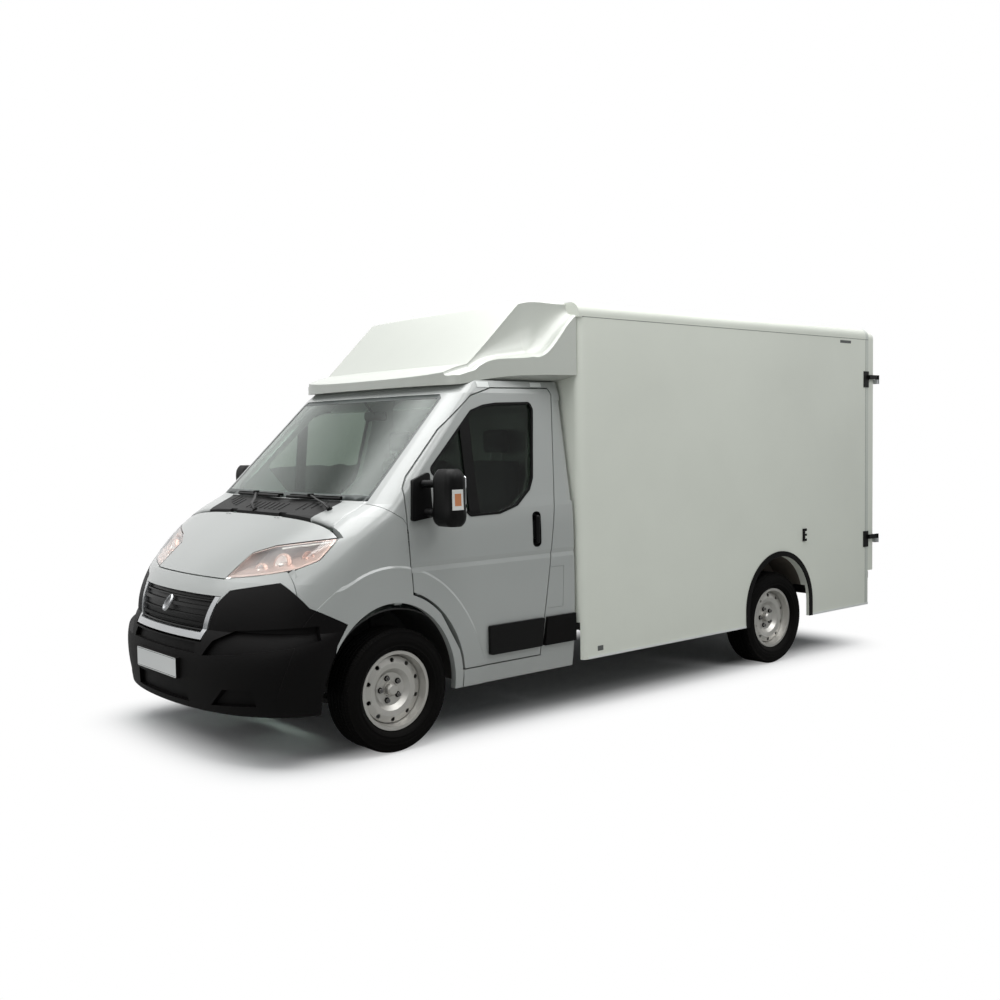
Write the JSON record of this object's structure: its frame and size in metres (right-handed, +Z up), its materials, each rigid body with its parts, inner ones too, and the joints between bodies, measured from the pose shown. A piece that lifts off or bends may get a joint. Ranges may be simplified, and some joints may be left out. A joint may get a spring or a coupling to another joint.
{
  "type": "box van",
  "caption": "Light delivery van: short-nose cab with roof fairing, panel-built insulated load box with twin rear doors, steerable front wheels.",
  "frame": {"origin": "on the ground, in the middle of the whole length and width", "axes": "front of the van towards -Y, its left side towards +X, +Z up"},
  "size_m": [2.511, 5.708, 2.612],
  "materials": {
    "box_frame": "satin grey-white frame paint",
    "box_panel": "satin cream-white laminate",
    "cab_paint": "gloss light grey-white paint",
    "chassis_steel": "black chassis paint",
    "dark_plastic": "grained charcoal",
    "engine_iron": "raw casting",
    "exhaust_steel": "dull",
    "fairing_shell": "gloss ivory gel coat",
    "glazing": "green tinted",
    "grille_bright": "silver moulded plastic",
    "interior_plastic": "grained",
    "lamp_clear": "clear lens",
    "lamp_red": "red lens",
    "load_floor": "rough anti-slip",
    "seat_cloth": "woven cloth",
    "steel_wheel": "silver paint",
    "tank_plastic": "black moulded",
    "tyre_rubber": "matt black",
    "zinc_steel": "zinc plated"
  },
  "bodies": {
    "root": {"arch_trims": "dark_plastic", "body_rub_strips": "dark_plastic", "box_floor": "load_floor", "box_front_wall": "box_panel", "box_rear_frame": "box_frame", "box_roof": "box_panel", "box_side_walls": "box_panel", "cab_body": "cab_paint", "cab_floor": "interior_plastic", "chassis_frame": "chassis_steel", "dashboard": "interior_plastic", "door_catches": "zinc_steel", "engine_block": "engine_iron", "exhaust": "exhaust_steel", "front_bumper": "dark_plastic", "front_fenders": "cab_paint", "front_frame": "chassis_steel", "front_panel": "cab_paint", "front_suspension": "chassis_steel", "fuel_tank": "tank_plastic", "grille": "dark_plastic", "grille_surround": "grille_bright", "headlamps": "lamp_clear", "lamp_housings": "grille_bright", "leaf_springs": "chassis_steel", "rear_axle": "chassis_steel", "rear_bumper": "chassis_steel", "rear_hinge_plates": "zinc_steel", "rear_lamps": "lamp_red", "roof_fairing": "fairing_shell", "scuttle": "dark_plastic", "seat_bases": "interior_plastic", "seats": "seat_cloth", "steering_wheel": "interior_plastic", "wheel_housings": "dark_plastic", "windscreen": "glazing", "wipers": "dark_plastic"},
    "bonnet": {"bonnet": "cab_paint"},
    "cab_door_left": {"cab_door_left": "cab_paint", "door_glass_left": "glazing", "door_fittings_left": "dark_plastic"},
    "knuckle_left": {"knuckle_left": "chassis_steel"},
    "wheel_front_left": {"rim_front_left": "steel_wheel", "tyre_front_left": "tyre_rubber"},
    "wheel_rear_left": {"rim_rear_left": "steel_wheel", "tyre_rear_left": "tyre_rubber"},
    "rear_door_left": {"rear_door_left": "box_panel", "rear_door_fittings_left": "zinc_steel"},
    "cab_door_right": {"cab_door_right": "cab_paint", "door_glass_right": "glazing", "door_fittings_right": "dark_plastic"},
    "knuckle_right": {"knuckle_right": "chassis_steel"},
    "wheel_front_right": {"rim_front_right": "steel_wheel", "tyre_front_right": "tyre_rubber"},
    "wheel_rear_right": {"rim_rear_right": "steel_wheel", "tyre_rear_right": "tyre_rubber"},
    "rear_door_right": {"rear_door_right": "box_panel", "rear_door_fittings_right": "zinc_steel"}
  },
  "joints": [
    {"name": "steer_left", "type": "hinge", "parent": "root", "child": "knuckle_left", "pos_m": [0.765, -1.904, 0.343], "axis": [0, 0, 1], "range_deg": [-35, 35]},
    {"name": "wheel_front_left_spin", "type": "hinge", "parent": "knuckle_left", "child": "wheel_front_left", "pos_m": [0.906, -1.904, 0.343], "axis": [1, 0, 0], "continuous": true},
    {"name": "wheel_rear_left_spin", "type": "hinge", "parent": "root", "child": "wheel_rear_left", "pos_m": [0.896, 1.546, 0.343], "axis": [1, 0, 0], "continuous": true},
    {"name": "cab_door_left_hinge", "type": "hinge", "parent": "root", "child": "cab_door_left", "pos_m": [1.002, -1.759, 1.04], "axis": [0, 0, -1], "range_deg": [0, 70]},
    {"name": "rear_door_left_hinge", "type": "hinge", "parent": "root", "child": "rear_door_left", "pos_m": [1.075, 2.843, 1.5], "axis": [0, 0, -1], "range_deg": [0, 270]},
    {"name": "steer_right", "type": "hinge", "parent": "root", "child": "knuckle_right", "pos_m": [-0.765, -1.904, 0.343], "axis": [0, 0, 1], "range_deg": [-35, 35]},
    {"name": "wheel_front_right_spin", "type": "hinge", "parent": "knuckle_right", "child": "wheel_front_right", "pos_m": [-0.906, -1.904, 0.343], "axis": [1, 0, 0], "continuous": true},
    {"name": "wheel_rear_right_spin", "type": "hinge", "parent": "root", "child": "wheel_rear_right", "pos_m": [-0.896, 1.546, 0.343], "axis": [1, 0, 0], "continuous": true},
    {"name": "cab_door_right_hinge", "type": "hinge", "parent": "root", "child": "cab_door_right", "pos_m": [-1.002, -1.759, 1.04], "axis": [0, 0, 1], "range_deg": [0, 70]},
    {"name": "rear_door_right_hinge", "type": "hinge", "parent": "root", "child": "rear_door_right", "pos_m": [-1.075, 2.843, 1.5], "axis": [0, 0, 1], "range_deg": [0, 270]},
    {"name": "bonnet_hinge", "type": "hinge", "parent": "root", "child": "bonnet", "pos_m": [0, -2.216, 1.289], "axis": [-1, 0, 0], "range_deg": [0, 50]}
  ],
  "couplings": [
    {"joint": "steer_right", "follows": "steer_left", "ratio": 1}
  ]
}
